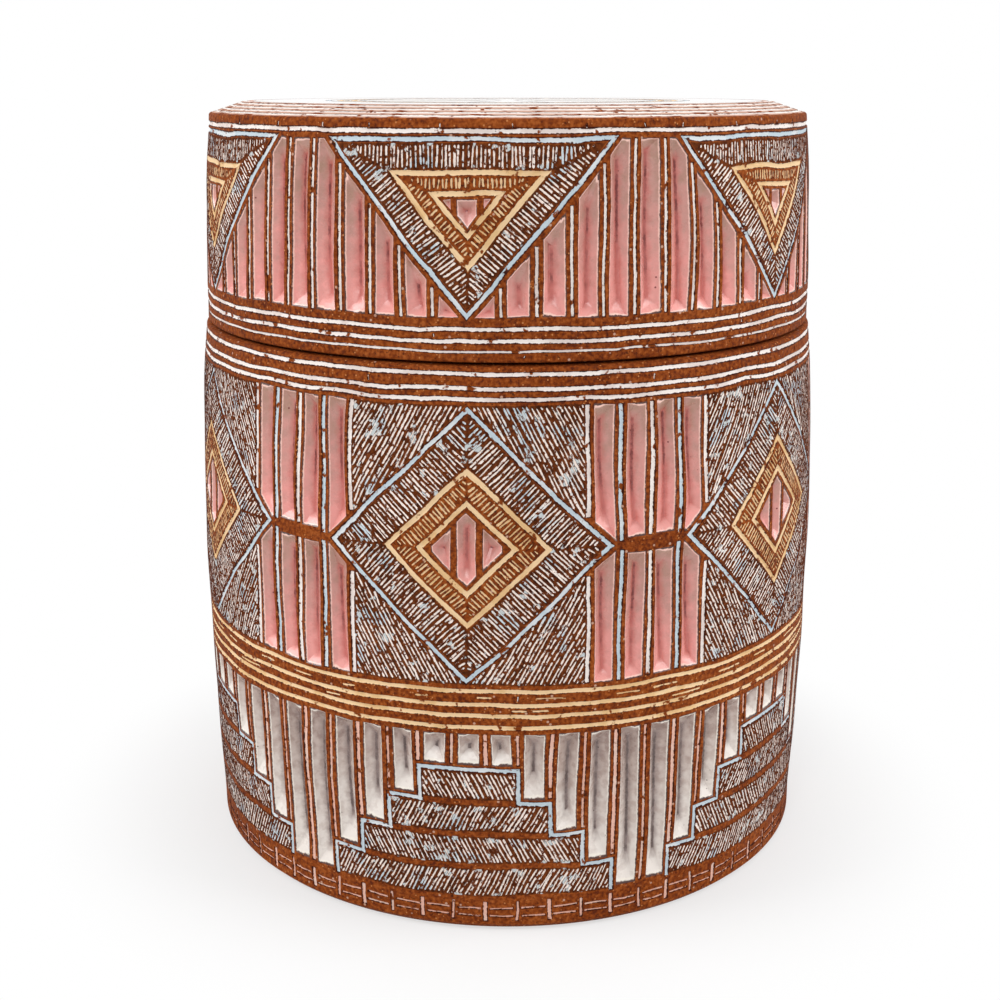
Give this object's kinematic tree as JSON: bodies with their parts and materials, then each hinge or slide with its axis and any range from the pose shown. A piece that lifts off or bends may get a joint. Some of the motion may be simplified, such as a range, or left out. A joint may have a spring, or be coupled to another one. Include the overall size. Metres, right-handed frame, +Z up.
{
  "type": "lidded jar",
  "caption": "Barrel-walled stoneware jar with a raised collar and a deep flat-topped lid that drops over the collar and lifts straight off.",
  "frame": {"origin": "centre of the foot, on the plane the jar stands on", "axes": "+Z up along the jar's axis, which is also the way the lid lifts; -Y faces the picture's camera"},
  "size_m": [0.1526, 0.1526, 0.178],
  "materials": {
    "body_clay": "bare brown stoneware, carved through to pink and grey glaze and inlaid with white, pale blue and ochre slip",
    "lid_clay": "bare brown stoneware, carved through to pink glaze and inlaid with white, pale blue and ochre slip"
  },
  "bodies": {
    "body": {"jar_body": "body_clay"},
    "lid": {"lid": "lid_clay"}
  },
  "joints": [
    {"name": "lid_lift", "type": "slide", "parent": "body", "child": "lid", "axis": [0, 0, 1], "range_m": [0, 0.12]}
  ]
}
